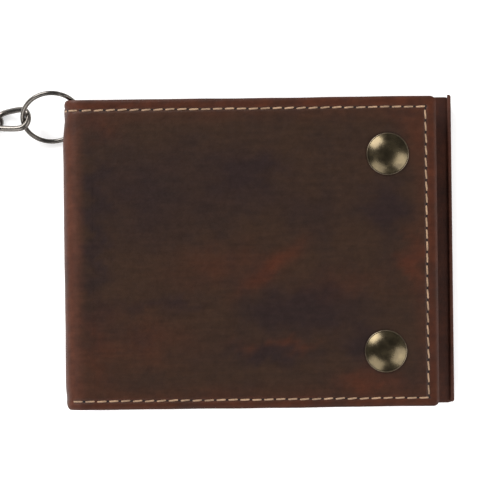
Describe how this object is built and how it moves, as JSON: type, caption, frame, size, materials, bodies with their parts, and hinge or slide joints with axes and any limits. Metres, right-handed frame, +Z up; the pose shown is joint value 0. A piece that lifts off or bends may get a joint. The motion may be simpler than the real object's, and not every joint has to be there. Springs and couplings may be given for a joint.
{
  "type": "chain wallet",
  "caption": "Bifold leather chain wallet with turned edges, card slots, two snap closures, an eyelet ring, a curb chain and a swivel clasp.",
  "frame": {"origin": "middle of the closed wallet's footprint on the table, at its underside", "axes": "+X from the spine to the free edge, +Y towards the open top edge, +Z up through the front cover"},
  "size_m": [0.1979, 0.1206, 0.017],
  "materials": {
    "leather_shell": "satin",
    "leather_spine": "satin",
    "leather_lining": "matte",
    "waxed_thread": "matte",
    "antique_brass": "satin",
    "snap_steel": "satin",
    "gunmetal": "satin",
    "window_film": "gloss"
  },
  "bodies": {
    "back_half": {"shell_back": "leather_shell", "hem_back": "leather_lining", "top_facing_back": "leather_lining", "inner_panel_back": "leather_lining", "edge_binding_back": "leather_spine", "card_slot_back_1": "leather_lining", "card_slot_back_2": "leather_shell", "card_slot_back_3": "leather_spine", "thread_back": "waxed_thread", "thread_slots_back": "waxed_thread", "snap_stud_upper": "snap_steel", "snap_stud_lower": "snap_steel", "stud_rivet_upper": "antique_brass", "stud_rivet_lower": "antique_brass", "eyelet": "gunmetal", "eyelet_washer": "gunmetal"},
    "spine_lower_part": {"spine_middle": "leather_spine"},
    "spine_upper_part": {"spine_upper": "leather_spine", "thread_spine": "waxed_thread"},
    "front_half": {"shell_front": "leather_shell", "hem_front": "leather_lining", "top_facing_front": "leather_lining", "inner_panel_front": "leather_lining", "card_slot_front_1": "leather_lining", "card_slot_front_2": "leather_shell", "window_frame": "leather_spine", "window_film": "window_film", "thread_front": "waxed_thread", "thread_lining": "waxed_thread", "thread_slots_front": "waxed_thread", "snap_cap_upper": "antique_brass", "snap_cap_lower": "antique_brass", "snap_socket_upper": "snap_steel", "snap_socket_lower": "snap_steel", "snap_spring_upper": "snap_steel", "snap_spring_lower": "snap_steel"},
    "ring": {"ring": "gunmetal"},
    "link_1": {"link_1": "gunmetal"},
    "link_2": {"link_2": "gunmetal"},
    "link_3": {"link_3": "gunmetal"},
    "chain": {"chain_run_1": "gunmetal", "chain_turn": "gunmetal", "chain_run_2": "gunmetal"},
    "swivel": {"swivel_eye": "gunmetal"},
    "clasp": {"clasp_barrel": "gunmetal", "clasp_hook": "gunmetal", "gate_pin": "snap_steel", "gate_spring": "snap_steel"},
    "gate": {"clasp_gate": "gunmetal"}
  },
  "joints": [
    {"name": "spine_fold_lower", "type": "hinge", "parent": "back_half", "child": "spine_lower_part", "pos_m": [-0.0566, 0, 0.0066], "axis": [0, -1, 0], "range_deg": [0, 50]},
    {"name": "spine_fold_upper", "type": "hinge", "parent": "spine_lower_part", "child": "spine_upper_part", "pos_m": [-0.0573, 0, 0.0096], "axis": [0, -1, 0], "range_deg": [0, 50]},
    {"name": "cover_fold", "type": "hinge", "parent": "spine_upper_part", "child": "front_half", "pos_m": [-0.053, 0, 0.0139], "axis": [0, -1, 0], "range_deg": [0, 50]},
    {"name": "ring_turn", "type": "hinge", "parent": "back_half", "child": "ring", "pos_m": [-0.0615, 0.04125, 0.00617], "axis": [0.0853, -0.6069, 0.7902], "continuous": true},
    {"name": "link_1_swing", "type": "hinge", "parent": "back_half", "child": "link_1", "pos_m": [-0.0691, 0.0402, 0.0062], "axis": [0, 0, -1], "range_deg": [-2, 14]},
    {"name": "link_2_swing", "type": "hinge", "parent": "link_1", "child": "link_2", "pos_m": [-0.0785, 0.0402, 0.00285], "axis": [0, 0, -1], "range_deg": [-2, 20]},
    {"name": "link_3_swing", "type": "hinge", "parent": "link_2", "child": "link_3", "pos_m": [-0.08749, 0.03745, 0.00285], "axis": [0, 0, -1], "range_deg": [-2, 20]},
    {"name": "chain_swing", "type": "hinge", "parent": "link_3", "child": "chain", "pos_m": [-0.0939, 0.03058, 0.00285], "axis": [0, 0, -1], "range_deg": [-2, 20]},
    {"name": "eye_swing", "type": "hinge", "parent": "chain", "child": "swivel", "pos_m": [-0.13249, 0.02146, 0.00285], "axis": [0, 0, -1], "range_deg": [-6, 6]},
    {"name": "clasp_swivel", "type": "hinge", "parent": "swivel", "child": "clasp", "pos_m": [-0.13249, 0.02336, 0.00325], "axis": [0, 1, 0], "range_deg": [-180, 180]},
    {"name": "gate_open", "type": "hinge", "parent": "clasp", "child": "gate", "pos_m": [-0.12809, 0.03576, 0.00325], "axis": [0, 0, 1], "range_deg": [0, 26], "stiffness_Nm_per_rad": 0.002}
  ]
}
